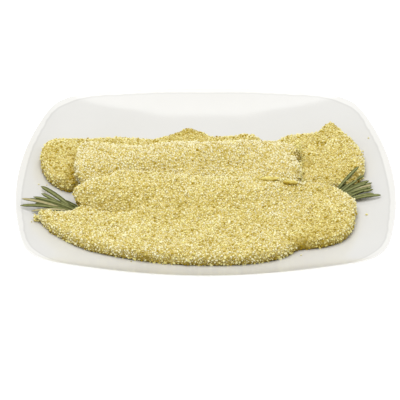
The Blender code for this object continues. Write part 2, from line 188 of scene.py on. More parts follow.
def merged_copy(node, name):
    """A copy of a CAD node as its own object, with its loose triangles merged."""
    source = NODES[node]
    obj = bpy.data.objects.new(name, source.data.copy())
    bpy.context.scene.collection.objects.link(obj)
    obj.matrix_world = source.matrix_world.copy()
    obj.data.materials.clear()
    make_active(obj)
    bpy.ops.object.transform_apply(location=True, rotation=True, scale=True)
    bpy.ops.object.mode_set(mode="EDIT")
    bpy.ops.mesh.select_all(action="SELECT")
    bpy.ops.mesh.remove_doubles(threshold=0.00002)
    bpy.ops.object.mode_set(mode="OBJECT")
    return obj


def points_of(obj):
    """The places of a mesh's points, one row for each."""
    points = np.empty(3 * len(obj.data.vertices), np.float32)
    obj.data.vertices.foreach_get("co", points)
    return points.reshape(-1, 3).astype(float)


def normals_of(obj):
    """The directions in which a mesh's points face, one row for each."""
    normals = np.empty(3 * len(obj.data.vertices), np.float32)
    obj.data.vertices.foreach_get("normal", normals)
    return normals.reshape(-1, 3).astype(float)


def move_points(obj, points):
    obj.data.vertices.foreach_set("co", np.asarray(points, np.float32).ravel())
    obj.data.update()


def store(obj, name, values):
    """Keep one number for each point of a mesh, for its material to read."""
    attribute = obj.data.attributes.new(name, "FLOAT", "POINT")
    attribute.data.foreach_set("value", np.asarray(values, np.float32))


def hollowness(obj, points, normals, rounds):
    """How deep each point lies under the relaxed surface, in millimetres; ridges are negative."""
    edges = np.empty(2 * len(obj.data.edges), np.int32)
    obj.data.edges.foreach_get("vertices", edges)
    first, second = edges.reshape(-1, 2).T
    count = len(points)
    links = np.bincount(first, minlength=count) + np.bincount(second, minlength=count)
    relaxed = points.copy()
    for _ in range(rounds):
        for axis in range(3):
            values = relaxed[:, axis]
            around = np.bincount(first, values[second], count) + np.bincount(second, values[first], count)
            relaxed[:, axis] = 0.5 * (values + around / links)
    return ((relaxed - points) * normals).sum(axis=1) / MM


def noise_at(points, size, seed):
    """Smooth noise from -1 to 1 at each point, with features of about this size."""
    scaled = points / size + seed
    return np.array([noise.noise(Vector(p)) for p in scaled])


def grains_at(points, size, seed):
    """Rounded grains: 0 along their borders, 1 in their middles."""
    scaled = points / size + seed
    near = np.array([noise.voronoi(Vector(p))[0][:2] for p in scaled])
    return np.clip((near[:, 1] - near[:, 0]) * 1.6, 0, 1)


def new_object(name, mesh):
    obj = bpy.data.objects.new(name, mesh)
    bpy.context.scene.collection.objects.link(obj)
    return obj


def mesh_object(name, points, faces):
    mesh = bpy.data.meshes.new(name)
    mesh.from_pydata(np.asarray(points).tolist(), [], np.asarray(faces).tolist())
    mesh.update()
    return new_object(name, mesh)


def joined(pieces, name):
    """Several objects made into one."""
    make_active(pieces[0])
    for piece in pieces:
        piece.select_set(True)
    bpy.ops.object.join()
    pieces[0].name = name
    return pieces[0]


def tree_of(obj):
    """The surface of an object, ready for rays and for the nearest place on it."""
    mesh = obj.data
    mesh.calc_loop_triangles()
    return BVHTree.FromPolygons(
        [tuple(v.co) for v in mesh.vertices], [tuple(t.vertices) for t in mesh.loop_triangles]
    )


def finish_piece(piece, slot, *nodes):
    """The piece moves with the whole object, and stands for these CAD nodes."""
    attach(piece, "root")
    if nodes:
        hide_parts(*nodes)


# ---------------------------------------------------------------- materials


def material(name):
    made = bpy.data.materials.new(name)
    made.use_nodes = True
    nodes = made.node_tree.nodes
    return made, nodes, made.node_tree.links, nodes["Principled BSDF"]


def add_ramp(nodes, stops):
    """A colour ramp with these stops."""
    ramp = nodes.new("ShaderNodeValToRGB")
    elements = ramp.color_ramp.elements
    while len(elements) < len(stops):
        elements.new(0.5)
    for element, (position, colour) in zip(elements, stops):
        element.position = position
        element.color = (*colour, 1.0)
    return ramp


def add_noise(nodes, links, vector, scale, detail=2.0):
    texture = nodes.new("ShaderNodeTexNoise")
    texture.inputs["Scale"].default_value = scale
    texture.inputs["Detail"].default_value = detail
    links.new(vector, texture.inputs["Vector"])
    return texture.outputs["Fac"]


def add_mix(nodes, links, factor, first, second, kind="MIX"):
    """A mix of two colours, each a socket or a plain colour."""
    mix = nodes.new("ShaderNodeMix")
    mix.data_type = "RGBA"
    mix.blend_type = kind
    inputs = [socket for socket in mix.inputs if socket.enabled]
    for socket, value in zip(inputs, (factor, first, second)):
        if isinstance(value, bpy.types.NodeSocket):
            links.new(value, socket)
        elif isinstance(value, tuple):
            socket.default_value = (*value, 1.0)
        else:
            socket.default_value = value
    return next(socket for socket in mix.outputs if socket.enabled)


def add_range(nodes, links, value, low, high, to_low, to_high):
    """A value moved from one range to another, and held inside it."""
    scaled = nodes.new("ShaderNodeMapRange")
    scaled.inputs["From Min"].default_value = low
    scaled.inputs["From Max"].default_value = high
    scaled.inputs["To Min"].default_value = to_low
    scaled.inputs["To Max"].default_value = to_high
    links.new(value, scaled.inputs["Value"])
    return scaled.outputs["Result"]


def add_bump(nodes, links, height, strength, distance, shader):
    relief = nodes.new("ShaderNodeBump")
    relief.inputs["Strength"].default_value = strength
    relief.inputs["Distance"].default_value = distance
    links.new(height, relief.inputs["Height"])
    links.new(relief.outputs["Normal"], shader.inputs["Normal"])


def add_attribute(nodes, name):
    attribute = nodes.new("ShaderNodeAttribute")
    attribute.attribute_name = name
    return attribute.outputs["Fac"]


def crumb_tone_group():
    """Tint runs from the deep tone to the pale one, and Patchiness shifts it from place to place."""
    group = bpy.data.node_groups.new("crumb tone", "ShaderNodeTree")
    face = group.interface
    face.new_socket(name="Tint", in_out="INPUT", socket_type="NodeSocketFloat")
    face.new_socket(name="Patchiness", in_out="INPUT", socket_type="NodeSocketFloat")
    face.new_socket(name="Deep", in_out="INPUT", socket_type="NodeSocketColor")
    face.new_socket(name="Golden", in_out="INPUT", socket_type="NodeSocketColor")
    face.new_socket(name="Pale", in_out="INPUT", socket_type="NodeSocketColor")
    face.new_socket(name="Colour", in_out="OUTPUT", socket_type="NodeSocketColor")
    face.new_socket(name="Grain", in_out="OUTPUT", socket_type="NodeSocketFloat")
    nodes, links = group.nodes, group.links
    given = nodes.new("NodeGroupInput").outputs
    result = nodes.new("NodeGroupOutput").inputs
    place = nodes.new("ShaderNodeTexCoord").outputs["Object"]
    patches = add_range(nodes, links, add_noise(nodes, links, place, 85.0, 3.0), 0.0, 1.0, -0.5, 0.5)
    shifted = nodes.new("ShaderNodeMath")
    shifted.operation = "MULTIPLY_ADD"
    shifted.use_clamp = True
    links.new(patches, shifted.inputs[0])
    links.new(given["Patchiness"], shifted.inputs[1])
    links.new(given["Tint"], shifted.inputs[2])
    tint = shifted.outputs[0]
    low = add_range(nodes, links, tint, 0.0, 0.5, 0.0, 1.0)
    high = add_range(nodes, links, tint, 0.5, 1.0, 0.0, 1.0)
    golden = add_mix(nodes, links, low, given["Deep"], given["Golden"])
    links.new(add_mix(nodes, links, high, golden, given["Pale"]), result["Colour"])
    links.new(add_noise(nodes, links, place, 2600.0), result["Grain"])
    return group


def crumb_material(name, group, tint, tones, patchiness, bump):
    """Dry breadcrumb: deep, golden and pale tones picked by the tint."""
    made, nodes, links, shader = material(name)
    tone = nodes.new("ShaderNodeGroup")
    tone.node_tree = group
    tone.inputs["Patchiness"].default_value = patchiness
    for socket, colour in zip(("Deep", "Golden", "Pale"), tones):
        tone.inputs[socket].default_value = (*colour, 1.0)
    links.new(tint(nodes, links), tone.inputs["Tint"])
    links.new(tone.outputs["Colour"], shader.inputs["Base Color"])
    add_bump(nodes, links, tone.outputs["Grain"], bump, 0.0002, shader)
    shader.inputs["Roughness"].default_value = 0.85
    shader.inputs["Specular IOR Level"].default_value = 0.08
    return made


def tint_attribute(nodes, links):
    """The tint that each grain carries."""
    return add_attribute(nodes, "tint")


def tint_cells(nodes, links):
    """One tone for each small cell of the skin, with painted shade on its underside."""
    place = nodes.new("ShaderNodeTexCoord").outputs["Object"]
    cells = nodes.new("ShaderNodeTexVoronoi")
    cells.inputs["Scale"].default_value = 900.0
    links.new(place, cells.inputs["Vector"])
    split = nodes.new("ShaderNodeSeparateColor")
    links.new(cells.outputs["Color"], split.inputs["Color"])
    cell = add_range(nodes, links, split.outputs["Red"], 0.0, 1.0, 0.15, 0.85)
    shown = nodes.new("ShaderNodeMath")
    shown.operation = "MULTIPLY"
    links.new(cell, shown.inputs[0])
    links.new(add_attribute(nodes, "tint"), shown.inputs[1])
    return shown.outputs[0]


GLAZE_WHITES = ((0.3, (0.900, 0.892, 0.858)), (0.7, (0.930, 0.924, 0.894)))
# Shade of the glaze from the plate's middle, 0, to its outline, 1: a thin line of painted shade inside a
# painted highlight along the rim's lip.
RIM_PAINTED_LIGHT = (
    (0.0, (0.735, 0.735, 0.735)),
    (0.955, (0.735, 0.735, 0.735)),
    (0.963, (0.66, 0.66, 0.66)),
    (0.968, (0.84, 0.84, 0.84)),
    (1.0, (0.84, 0.84, 0.84)),
)
BARE_CLAY = (0.640, 0.600, 0.520)


def porcelain_material():
    """White glaze with a soft waviness, a painted highlight along the rim's lip with a thin line of painted
    shade inside it, matt where the foot ring is bare.
    """
    made, nodes, links, shader = material("porcelain glaze")
    place = nodes.new("ShaderNodeTexCoord").outputs["Object"]
    white = add_ramp(nodes, GLAZE_WHITES)
    links.new(add_noise(nodes, links, place, 14.0, 3.0), white.inputs["Fac"])
    split = nodes.new("ShaderNodeSeparateXYZ")
    links.new(place, split.inputs["Vector"])
    bare = add_range(nodes, links, split.outputs["Z"], 0.0003, 0.0009, 1.0, 0.0)
    # painted highlight along the lip and a thin line of painted shade inside it
    rim = add_ramp(nodes, RIM_PAINTED_LIGHT)
    links.new(add_attribute(nodes, "rim"), rim.inputs["Fac"])
    glazed = add_mix(nodes, links, 1.0, white.outputs["Color"], rim.outputs["Color"], "MULTIPLY")
    body = add_mix(nodes, links, bare, glazed, BARE_CLAY)
    links.new(body, shader.inputs["Base Color"])
    rough = add_range(nodes, links, bare, 0.0, 1.0, 0.16, 0.70)
    links.new(rough, shader.inputs["Roughness"])
    add_bump(nodes, links, add_noise(nodes, links, place, 45.0), 0.06, 0.0010, shader)
    return made


# Tones of a leaf from the middle of its width, 0, to its edge, 1, on its upper side and its underside.
LEAF_ABOVE = (
    (0.0, (0.340, 0.355, 0.160)),
    (0.22, (0.240, 0.262, 0.096)),
    (0.55, (0.128, 0.146, 0.040)),
    (1.0, (0.070, 0.082, 0.020)),
)
LEAF_BELOW = (
    (0.0, (0.340, 0.320, 0.160)),
    (0.20, (0.560, 0.500, 0.290)),
    (0.60, (0.470, 0.430, 0.230)),
    (0.80, (0.150, 0.160, 0.050)),
    (1.0, (0.070, 0.082, 0.020)),
)
LEAF_MOTTLE = ((0.3, (0.72, 0.68, 0.58)), (0.7, (1.0, 1.0, 1.0)))
STEM_BROWN = (0.150, 0.085, 0.040)


def rosemary_material():
    """Leaf green along the edges, a paler furrow down the middle and a grey felted underside."""
    made, nodes, links, shader = material("rosemary leaf")
    place = nodes.new("ShaderNodeTexCoord").outputs["Object"]
    across = add_attribute(nodes, "across")
    above = add_ramp(nodes, LEAF_ABOVE)
    below = add_ramp(nodes, LEAF_BELOW)
    links.new(across, above.inputs["Fac"])
    links.new(across, below.inputs["Fac"])
    under = add_attribute(nodes, "under")
    sides = add_mix(nodes, links, under, above.outputs["Color"], below.outputs["Color"])
    mottle = add_noise(nodes, links, place, 420.0, 3.0)
    shade = add_ramp(nodes, LEAF_MOTTLE)
    links.new(mottle, shade.inputs["Fac"])
    green = add_mix(nodes, links, 1.0, sides, shade.outputs["Color"], "MULTIPLY")
    colour = add_mix(nodes, links, add_attribute(nodes, "wood"), green, STEM_BROWN)
    links.new(colour, shader.inputs["Base Color"])
    add_bump(nodes, links, mottle, 0.3, 0.0002, shader)
    shader.inputs["Roughness"].default_value = 0.60
    shader.inputs["Specular IOR Level"].default_value = 0.20
    return made


# ---------------------------------------------------------------- plate


def rim_share(points):
    """How far out each point lies between the middle of the plate, 0, and its outline, 1."""
    angle = np.degrees(np.arctan2(points[:, 1], points[:, 0])) % 360
    radius = np.hypot(points[:, 0], points[:, 1])
    outline = np.array([radius[np.abs(angle - turn) < 2.0].max() for turn in range(1, 360, 2)])
    return radius / np.interp(angle, np.arange(1, 360, 2), outline, period=360)


def build_plate(glaze):
    """The plate with its facets rounded off."""
    plate = merged_copy("plate", "plate_glazed")
    bpy.ops.object.mode_set(mode="EDIT")
    bpy.ops.mesh.select_all(action="SELECT")
    bpy.ops.mesh.tris_convert_to_quads(face_threshold=0.9, shape_threshold=0.9)
    bpy.ops.object.mode_set(mode="OBJECT")
    apply_modifier(plate, "smooth", "SUBSURF", levels=2, render_levels=2)
    plate.data.shade_smooth()
    store(plate, "rim", rim_share(points_of(plate)))
    plate.data.materials.append(glaze)
    finish_piece(plate, "porcelain", "plate")


# ---------------------------------------------------------------- folds and dents of the cutlets

# The fold is a groove along a path in mm. Its floor drops steeply from the lip on the right of
# the path and gently from the left.
FOLD_PATH = (
    (-98, -45),
    (-91, -47),
    (-85, -49.5),
    (-79, -52),
    (-73, -53),
    (-66, -53.5),
    (-57, -52),
    (-46, -47),
    (-34, -41),
)
FOLD_DEPTHS = (7.6, 7.2, 6.8, 6.2, 5.2, 4.2, 3.2, 2.2, 1.2)
FOLD_WIDTHS = (9.0, 1.5)  # gentle, steep
FOLD_LIP = (2.2, 5.0, 3.2)  # height, distance from the path and width
# The coating's rolled lip along the back edge, and the groove in front of it.
BACK_PATH = ((36, -17), (44, -18.5), (50, -19.5), (56, -20), (61, -22), (66, -23.5), (72, -23.5), (82, -20))
BACK_LIP = (2.0, 1.7)  # height and width
BACK_GROOVE = (1.8, 3.0, 1.4)  # depth, distance from the path and width
# Dents and clumps: x, y, radius, and depth or height, all in mm.
FRONT_DENTS = (
    (-22, -38.5, 1.8, 2.6),
    (-14, -44, 1.6, 2.0),
    (-20, -53.5, 3.2, 1.8),
    (90, -26, 2.6, 1.8),
    (76, -29.5, 1.6, 1.6),
    (69.5, -50.5, 1.3, 2.0),
    (64, -76, 1.2, 1.6),
)
FRONT_CLUMPS = ((-20, -48.5, 4.2, 1.8), (84, -34, 4.0, 1.0), (-8, -66, 4.5, 0.7), (95, -24, 3.0, 1.0))
MIDDLE_DENTS = (
    (71, 11.5, 2.0, 3.0),
    (67, 26, 1.5, 1.8),
    (45, 21, 2.0, 2.2),
    (50, 16, 1.6, 2.0),
    (43, 25, 1.5, 1.4),
    (-76, 2, 1.6, 1.6),
)
MIDDLE_CLUMPS = ((76, 29, 4.0, 2.0), (70, 33.5, 3.0, 1.2), (60, 30, 2.6, 1.0), (72, 4, 3.0, 1.0))
BACK_LEFT_CLUMPS = ((-24, 74, 4.0, 1.4), (-14, 76, 4.5, 1.8), (-3, 74, 3.6, 1.2), (-120, 20, 5.0, 1.0))
BACK_RIGHT_CLUMPS = ((106, 78, 3.6, 2.2), (100, 76, 3.4, 1.2), (122, 56, 4.0, 0.9), (70, 70, 3.5, 1.0))
BACK_RIGHT_DENTS = ((107.6, 10.4, 1.2, 2.0), (84, 22, 5.0, 1.6), (92, 60, 1.6, 1.2), (88, -2, 2.0, 1.5))


def distance_to_path(x, y, path):
    """Distance of each point from an open path, its side (left is +1), and its place along it."""
    best = np.full(len(x), 9.0)
    side = np.zeros(len(x))
    along = np.zeros(len(x))
    for i, (start, end) in enumerate(zip(path, path[1:])):
        run = end - start
        share = np.clip(((x - start[0]) * run[0] + (y - start[1]) * run[1]) / (run @ run), 0, 1)
        dx, dy = x - start[0] - share * run[0], y - start[1] - share * run[1]
        gap = np.hypot(dx, dy)
        nearer = gap < best
        best = np.where(nearer, gap, best)
        side = np.where(nearer, np.sign(run[0] * dy - run[1] * dx), side)
        along = np.where(nearer, i + share, along)
    return best / MM, side, along


def dented(points, up, spots, sign):
    """Round dents, or clumps where the sign is positive, on the faces that look up."""
    for x, y, radius, depth in spots:
        away = np.hypot(points[:, 0] - x * MM, points[:, 1] - y * MM) / MM
        points[:, 2] += sign * up * depth * MM * np.exp(-((away / radius) ** 2))
    return points


def fold_front(points, up):
    """The lobe that lies over the tail, and the rolled lip of coating along the back edge."""
    gap, side, along = distance_to_path(points[:, 0], points[:, 1], np.array(FOLD_PATH) * MM)
    depth = np.interp(along, range(len(FOLD_DEPTHS)), FOLD_DEPTHS)
    groove = -depth * np.exp(-((gap / np.where(side > 0, *FOLD_WIDTHS)) ** 2))
    height, away, width = FOLD_LIP
    lip = height * depth / FOLD_DEPTHS[0] * (side < 0) * np.exp(-(((gap - away) / width) ** 2))
    gap, side, along = distance_to_path(points[:, 0], points[:, 1], np.array(BACK_PATH) * MM)
    fade = np.sin(np.pi * np.clip(along / (len(BACK_PATH) - 1), 0.08, 0.92))
    height, width = BACK_LIP
    roll = height * fade * np.exp(-((gap / width) ** 2))
    height, away, width = BACK_GROOVE
    under = -height * fade * (side < 0) * np.exp(-(((gap - away) / width) ** 2))
    points[:, 2] += up * MM * (groove + lip + roll + under)
    points = dented(points, up, FRONT_DENTS, -1)
    return dented(points, up, FRONT_CLUMPS, 1)


def dent_middle(points, up):
    return dented(dented(points, up, MIDDLE_DENTS, -1), up, MIDDLE_CLUMPS, 1)


def dent_back_left(points, up):
    return dented(points, up, BACK_LEFT_CLUMPS, 1)


def dent_back_right(points, up):
    return dented(dented(points, up, BACK_RIGHT_DENTS, -1), up, BACK_RIGHT_CLUMPS, 1)


SHAPING = {
    "schnitzel_back_left": dent_back_left,
    "schnitzel_back_right": dent_back_right,
    "schnitzel_middle": dent_middle,
    "schnitzel_front": fold_front,
}


def settled(points, normals, beds):
    """The underside sinks until it lies just over its bed, so that no gap is left at the edge."""
    for index in np.flatnonzero(normals[:, 2] < FACES_DOWN):
        hits = [bed.ray_cast(Vector(points[index]), Vector((0, 0, -1)), SETTLE_REACH) for bed in beds]
        tops = [place.z for place, facing, _, _ in hits if place is not None and facing.z > FACES_UP]
        if tops:
            drop = max(points[index, 2] - max(tops) - SETTLE_GAP, 0.0)
            points[index, 2] -= drop * min(-1.8 * normals[index, 2], 1.0)
    return points


def cutlet_skin(node, seed, covers, beds):
    """The coated surface of one cutlet: folds, soft swells and clotted lumps, thickest at the edge."""
    skin = merged_copy(node, node + "_skin")
    apply_modifier(skin, "even", "REMESH", mode="VOXEL", voxel_size=VOXEL, adaptivity=0.0)
    apply_modifier(skin, "relax", "SMOOTH", factor=0.5, iterations=14)
    points, normals = points_of(skin), normals_of(skin)
    points = settled(points, normals, beds)
    move_points(skin, points)
    normals = normals_of(skin)
    points = SHAPING[node](points, np.clip(1.6 * normals[:, 2], 0, 1))
    points[:, 2] = np.minimum(points[:, 2], SKIN_TOP)
    open_sky = np.array([not is_covered(p, n, covers) for p, n in zip(points, normals)])
    free = np.clip((normals[:, 2] + 0.75) / 0.6, 0, 1) * np.where(open_sky, 1.0, 0.15)
    edge = np.clip(1.0 - np.abs(normals[:, 2] - 0.15) / 0.75, 0, 1)
    swell = SKIN_PUFF + SWELL[0] * noise_at(points, SWELL[1], seed)
    swell += RIPPLE[0] * noise_at(points, RIPPLE[1], seed + 3)
    swell += CLOTS[0] * edge * (grains_at(points, CLOTS[1], seed + 5) - 0.45)
    swell += LUMPS[0] * (grains_at(points, LUMPS[1], seed + 7) - 0.5)
    move_points(skin, points + normals * (free * swell)[:, None])
    points, normals = points_of(skin), normals_of(skin)
    store(skin, "hollow", hollowness(skin, points, normals, HOLLOW_ROUNDS))
    # painted shade: the skin is painted deeper where it faces down
    store(skin, "tint", 0.05 + 0.95 * np.clip((normals[:, 2] + 0.35) / 0.5, 0, 1))
    skin.data.shade_smooth()
    return skin


# ---------------------------------------------------------------- crumbs


def crumb_shapes(count, rounder, seed):
    """Irregular crumbs of unit size, as (points, triangles)."""
    rng = np.random.default_rng(seed)
    shapes = []
    for _ in range(count):
        deselect_all()
        if rounder:
            bpy.ops.mesh.primitive_ico_sphere_add(subdivisions=1, radius=0.5)
        else:
            bpy.ops.mesh.primitive_uv_sphere_add(segments=5, ring_count=2, radius=0.5)
        crumb = bpy.context.object
        bpy.ops.object.mode_set(mode="EDIT")
        bpy.ops.mesh.select_all(action="SELECT")
        bpy.ops.mesh.quads_convert_to_tris()
        bpy.ops.object.mode_set(mode="OBJECT")
        points = points_of(crumb) * rng.uniform(0.74, 1.20, (len(crumb.data.vertices), 1))
        points *= rng.uniform((0.95, 0.75, 0.65), (1.25, 1.05, 0.95))
        triangles = np.array([tuple(p.vertices) for p in crumb.data.polygons])
        shapes.append((points, triangles))
        mesh = crumb.data
        bpy.data.objects.remove(crumb, do_unlink=True)
        bpy.data.meshes.remove(mesh)
    return shapes


def random_turns(count, rng):
    """Evenly distributed rotation matrices."""
    q = rng.normal(size=(count, 4))
    q /= np.linalg.norm(q, axis=1)[:, None]
    w, x, y, z = q.T
    rows = (
        (1 - 2 * (y * y + z * z), 2 * (x * y - z * w), 2 * (x * z + y * w)),
        (2 * (x * y + z * w), 1 - 2 * (x * x + z * z), 2 * (y * z - x * w)),
        (2 * (x * z - y * w), 2 * (y * z + x * w), 1 - 2 * (x * x + y * y)),
    )
    return np.stack([np.stack(row, axis=-1) for row in rows], axis=-2)


def thinned(places, spacing):
    """Indices of places that keep this distance from every one chosen before them."""
    taken = {}
    kept = []
    cells = np.floor(places / spacing).astype(int)
    limit = spacing * spacing
    steps = [(i, j, k) for i in (-1, 0, 1) for j in (-1, 0, 1) for k in (-1, 0, 1)]
    for index, (place, cell) in enumerate(zip(places.tolist(), cells.tolist())):
        x, y, z = place
        clear = True
        for i, j, k in steps:
            for other in taken.get((cell[0] + i, cell[1] + j, cell[2] + k), ()):
                if (x - other[0]) ** 2 + (y - other[1]) ** 2 + (z - other[2]) ** 2 < limit:
                    clear = False
                    break
            if not clear:
                break
        if clear:
            taken.setdefault(tuple(cell), []).append(place)
            kept.append(index)
    return np.array(kept)


def places_on(obj, spacing, rng, covers, lowest=-0.75, highest=2.0):
    """Evenly spread places on the open part of a surface: points, normals and hollowness."""
    mesh = obj.data
    mesh.calc_loop_triangles()
    corners = np.empty(3 * len(mesh.loop_triangles), np.int32)
    mesh.loop_triangles.foreach_get("vertices", corners)
    corners = corners.reshape(-1, 3)
    points = points_of(obj)
    a, b, c = (points[corners[:, i]] for i in range(3))
    cross = np.cross(b - a, c - a)
    size = np.linalg.norm(cross, axis=1)
    normal = cross / size[:, None]
    wanted = np.where((normal[:, 2] > lowest) & (normal[:, 2] < highest), size, 0)
    count = int(1.9 * wanted.sum() / 2 / spacing**2)
    chosen = rng.choice(len(size), count, p=wanted / wanted.sum())
    u, v = rng.random(count), rng.random(count)
    flip = u + v > 1
    u, v = np.where(flip, 1 - u, u), np.where(flip, 1 - v, v)
    places = a[chosen] + u[:, None] * (b - a)[chosen] + v[:, None] * (c - a)[chosen]
    normals = normal[chosen]
    hollow = np.empty(len(points), np.float32)
    mesh.attributes["hollow"].data.foreach_get("value", hollow)
    hollow = hollow[corners[chosen, 0]]
    kept = thinned(places, spacing)
    places, normals, hollow = places[kept], normals[kept], hollow[kept]
    shown = np.array([not is_covered(p, n, covers) for p, n in zip(places, normals)])
    return places[shown], normals[shown], hollow[shown]


def is_covered(place, normal, covers):
    """True where another piece lies just over this place."""
    start = Vector(place) + Vector(normal) * RAY_START
    for cover in covers:
        hit = cover.ray_cast(start, Vector((0, 0, 1)), COVERED_GAP)
        if hit[0] is not None:
            return True
    return False


def outside_pits(places, pits):
    """False where a place falls in a pit, so that the skin shows there."""
    clear = np.ones(len(places), bool)
    for pit in pits:
        clear &= ((places - pit) ** 2).sum(axis=1) > PIT_RADIUS**2
    return clear


def scatter(name, places, normals, shapes, sizes, tints, rng, lift, made):
    """One piece of crumbs at these places, each with its own size and turn, with painted shade at its foot.
    """
    count = len(places)
    which = rng.integers(0, len(shapes), count)
    size = sizes[0] + (sizes[1] - sizes[0]) * rng.beta(1.5, 2.4, count)
    turns = random_turns(count, rng)
    all_points, all_triangles, all_tints, offset = [], [], [], 0
    for k, (points, triangles) in enumerate(shapes):
        own = np.flatnonzero(which == k)
        turned = np.einsum("nij,pj->npi", turns[own], points)
        rise = np.einsum("npi,ni->np", turned, normals[own])
        centres = places[own] + normals[own] * (size[own, None] * lift)
        placed = turned * size[own, None, None] + centres[:, None, :]
        base = offset + len(points) * np.arange(len(own))
        all_points.append(placed.reshape(-1, 3))
        all_triangles.append((triangles[None] + base[:, None, None]).reshape(-1, 3))
        # painted shade: the lower points of each grain are painted deeper than its top
        all_tints.append((tints[own, None] + GRAIN_FOOT_PAINTED_SHADE * (rise - 0.10)).ravel())
        offset += len(points) * len(own)
    piece = mesh_object(name, np.vstack(all_points), np.vstack(all_triangles))
    store(piece, "tint", np.clip(np.concatenate(all_tints), 0, 1))
    piece.data.materials.append(made)
    finish_piece(piece, "breading")


def closeness(places, surfaces, reach):
    """1 where a place touches one of these surfaces, falling to 0 at this reach."""
    near = np.full(len(places), reach)
    for surface in surfaces:
        gaps = [surface.find_nearest(Vector(place), reach)[3] for place in places]
        near = np.minimum(near, [reach if gap is None else gap for gap in gaps])
    return 1 - near / reach


def shade_at(node, places, normals, hollow, covers, beds):
    """Shift of the tone: painted shade in hollows, down the sides, under another piece and at the foot, and
    the spots of tone and of painted light and shade.
    """
    shift = PIECE_TONE[node] - HOLLOW_PAINTED_SHADE * np.clip(hollow, -0.5, 2.5)
    shift -= SIDE_PAINTED_SHADE * np.clip(1 - normals[:, 2], 0, 1)
    shift -= COVER_PAINTED_SHADE * closeness(places, covers, CLOSE_GAP)
    for x, y, radius, change in TONE_AND_SHADE_SPOTS[node]:
        away = np.hypot(places[:, 0] - x * MM, places[:, 1] - y * MM) / MM
        shift += change * np.exp(-((away / radius) ** 2))
    return shift - BED_PAINTED_SHADE * closeness(places, beds, FOOT_GAP)


def lay_crumbs(node, seed, skin, covers, beds, rng, shapes, made):
    """Coarse crumbs, fewer in patches and none in the pits, whose places are given back."""
    places, normals, hollow = places_on(skin, CRUMB_SPACING, rng, covers)
    pits = places[rng.random(len(places)) < PITS_PER_AREA * CRUMB_SPACING**2]
    patch = noise_at(places, PATCH_SIZE, seed + 31.0)
    share = CRUMB_SHARE - PATCH_THINNING * np.clip(patch, 0, 1)
    keep = outside_pits(places, pits) & (rng.random(len(places)) < share)
    for x, y, radius in BARE_SPOTS.get(node, ()):
        keep &= np.hypot(places[:, 0] - x * MM, places[:, 1] - y * MM) > radius * MM
    places, normals, patch, hollow = places[keep], normals[keep], patch[keep], hollow[keep]
    tints = PALEST - rng.exponential(CRUMB_FALL_OFF, len(places)) + PATCH_TINT * patch
    tints += shade_at(node, places, normals, hollow, covers, beds)
    scatter(node + "_crumbs", places, normals, shapes, CRUMB_SIZE, tints, rng, CRUMB_LIFT, made)
    return pits


def lay_grit(node, skin, covers, beds, pits, rng, shapes, made):
    """Fine grit between the crumbs."""
    places, normals, hollow = places_on(skin, GRIT_SPACING, rng, covers)
    keep = outside_pits(places, pits) & (rng.random(len(places)) < GRIT_SHARE)
    places, normals, hollow = places[keep], normals[keep], hollow[keep]
    tints = PALEST - rng.exponential(GRIT_FALL_OFF, len(places))
    tints += shade_at(node, places, normals, hollow, covers, beds)
    scatter(node + "_grit", places, normals, shapes, GRIT_SIZE, tints, rng, GRIT_LIFT, made)


def lay_nuggets(node, skin, covers, rng, shapes, made):
    """A few larger golden crumbs along the edges."""
    places, normals, _ = places_on(skin, NUGGET_SPACING, rng, covers, -0.60, 0.45)
    tints = rng.normal(*NUGGET_TINT, len(places))
    scatter(node + "_nuggets", places, normals, shapes, NUGGET_SIZE, tints, rng, NUGGET_LIFT, made)


def coat(node, seed, trees, shapes, materials, plate):
    """A cutlet's skin and all that sticks to it."""
    rng = np.random.default_rng(seed)
    covers = [trees[other] for other in LYING_ON_IT[node]]
    beds = [plate] + [trees[other] for other in CUTLETS if node in LYING_ON_IT[other]]
    skin = cutlet_skin(node, 1.7 + 10.0 * seed, covers, beds)
    skin.data.materials.append(materials["skin"])
    finish_piece(skin, "breading", node)
    coarse, fine = shapes
    pits = lay_crumbs(node, seed, skin, covers, beds, rng, coarse, materials["crumb"])
    lay_grit(node, skin, covers, beds, pits, rng, fine, materials["grit"])
    lay_nuggets(node, skin, covers, rng, coarse, materials["crumb"])


def build_cutlets(plate):
    """All four cutlets; what they are made with is given back for the loose crumbs."""
    tone = crumb_tone_group()
    materials = {
        "skin": crumb_material("breading skin", tone, tint_cells, SKIN_TONES, 0.3, 0.5),
        "crumb": crumb_material("breading crumb", tone, tint_attribute, CRUMB_TONES, 0.3, 0.3),
        "grit": crumb_material("breading grit", tone, tint_attribute, GRIT_TONES, 0.3, 0.3),
    }
    shapes = crumb_shapes(12, True, 21), crumb_shapes(8, False, 22)
    trees = {node: tree_of(NODES[node]) for node in CUTLETS}
    for seed, node in enumerate(CUTLETS):
        coat(node, seed, trees, shapes, materials, plate)
    return materials, shapes, trees


# ---------------------------------------------------------------- loose crumbs, nubs and rolls

ABOVE_ALL = 0.08  # rays that look for what lies under a place start at this height
# Places on the plate, in mm, where crumbs have fallen.
FALLEN = ((-132, -71), (-133, -9), (-127, -6), (-122, -30), (131, 44), (137, 60), (-116, -82), (124, -53))
FALLEN_COUNT = 70  # more of them, at random within this oval, where the plate is free
FALLEN_OVAL = (0.128, 0.105)
FALLEN_CENTRE = -0.02
FALLEN_SIZE = (0.0008, 0.0022)
FALLEN_LIFT = 0.0006
FALLEN_TINT = (0.42, 0.12)  # mean and spread
